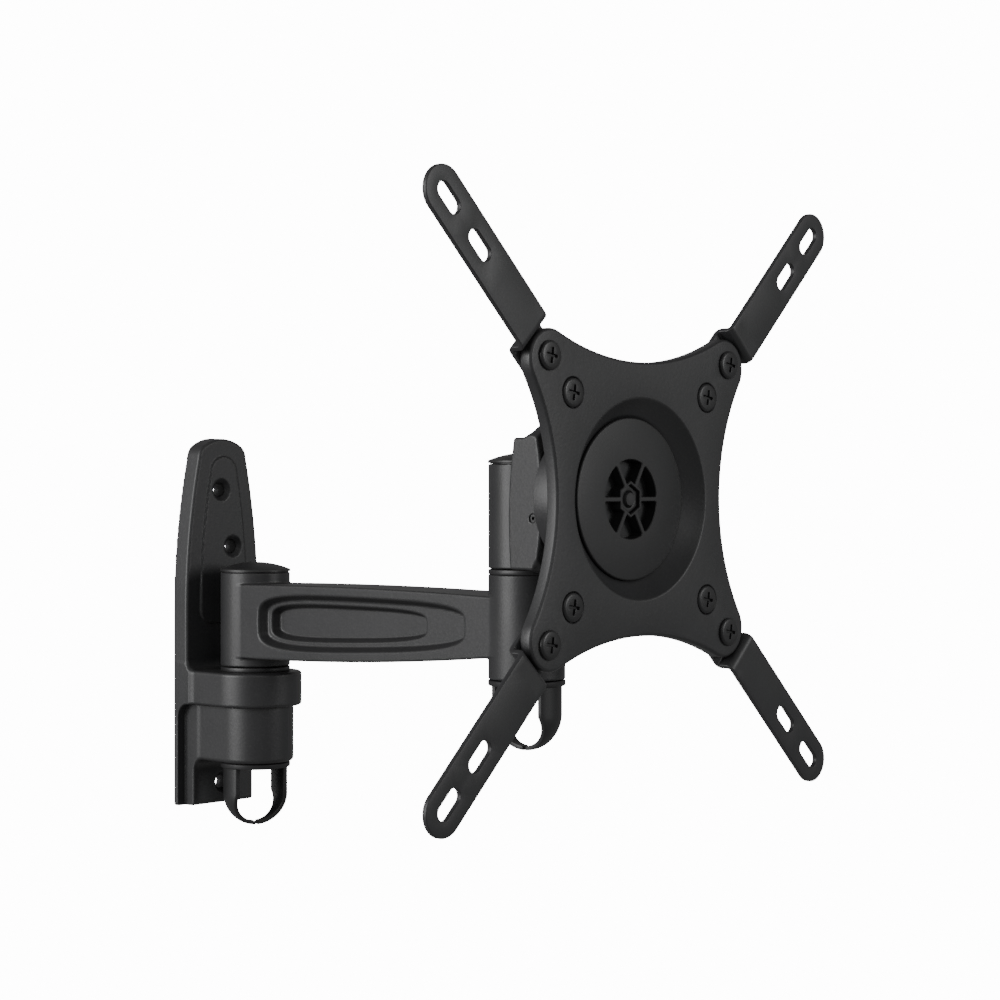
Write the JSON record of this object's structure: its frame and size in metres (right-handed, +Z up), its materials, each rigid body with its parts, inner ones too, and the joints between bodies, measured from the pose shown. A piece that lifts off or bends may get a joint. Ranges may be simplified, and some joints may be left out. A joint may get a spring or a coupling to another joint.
{
  "type": "full motion tv wall mount",
  "caption": "Small full motion screen mount: wall plate with hub, single swivelling arm, tilting and rolling ball head, square screen plate with diagonal extension arms and cable clips.",
  "frame": {"origin": "on the wall face, on the plane of symmetry, half way up the wall plate", "axes": "+Y into the wall, -Y towards the room, +Z up, +X to the right seen from the room"},
  "size_m": [0.222, 0.242, 0.2489],
  "materials": {
    "cast_body": "fine-textured black powder coat on die-cast aluminium",
    "steel_plate": "satin black powder coat on sheet steel",
    "black_plastic": "matte black moulded nylon",
    "black_screw": "black phosphate steel",
    "bush_plastic": "natural acetal bushes and friction liner",
    "plated_steel": "zinc-plated steel fasteners"
  },
  "bodies": {
    "wall": {"wall_plate": "cast_body", "wall_pivot_bolt": "plated_steel", "wall_pivot_nut": "plated_steel", "wall_pivot_washer": "black_plastic", "wall_pivot_spring": "plated_steel"},
    "wall_clip": {"wall_cable_clip": "black_plastic"},
    "arm": {"arm": "cast_body", "wall_pivot_bushes": "bush_plastic", "wall_pivot_cap": "black_plastic", "elbow_pivot_bolt": "plated_steel", "elbow_pivot_nut": "plated_steel", "elbow_pivot_washer": "black_plastic", "elbow_pivot_spring": "plated_steel"},
    "elbow_clip": {"elbow_cable_clip": "black_plastic"},
    "head": {"head_bracket": "cast_body", "elbow_pivot_bushes": "bush_plastic", "elbow_pivot_cap": "black_plastic", "tilt_seat": "cast_body", "seat_grub_screw": "black_screw", "tilt_stud": "black_screw", "pressure_disc": "black_plastic", "tilt_spring": "plated_steel", "tilt_nut": "black_screw"},
    "tilt": {"friction_liner": "bush_plastic"},
    "screen": {"screen_plate": "cast_body", "inner_plate_screws": "black_screw", "outer_plate_screws": "black_screw", "plate_nuts": "black_screw", "extension_arm_upper_right": "steel_plate", "extension_arm_upper_left": "steel_plate", "extension_arm_lower_left": "steel_plate", "extension_arm_lower_right": "steel_plate"}
  },
  "joints": [
    {"name": "wall_swivel", "type": "hinge", "parent": "wall", "child": "arm", "pos_m": [0, -0.029, 0], "axis": [0, 0, 1], "range_deg": [-90, 90]},
    {"name": "elbow_swivel", "type": "hinge", "parent": "arm", "child": "head", "pos_m": [0, -0.184, 0.027], "axis": [0, 0, 1], "range_deg": [-90, 90]},
    {"name": "head_tilt", "type": "hinge", "parent": "head", "child": "tilt", "pos_m": [0, -0.2716, 0.053], "axis": [1, 0, 0], "range_deg": [-12, 12]},
    {"name": "screen_roll", "type": "hinge", "parent": "tilt", "child": "screen", "pos_m": [0, -0.2716, 0.053], "axis": [0, 1, 0], "continuous": true},
    {"name": "wall_clip_swivel", "type": "hinge", "parent": "wall", "child": "wall_clip", "pos_m": [0, -0.029, -0.06], "axis": [0, 0, 1], "continuous": true},
    {"name": "elbow_clip_swivel", "type": "hinge", "parent": "arm", "child": "elbow_clip", "pos_m": [0, -0.184, -0.016], "axis": [0, 0, 1], "continuous": true}
  ]
}
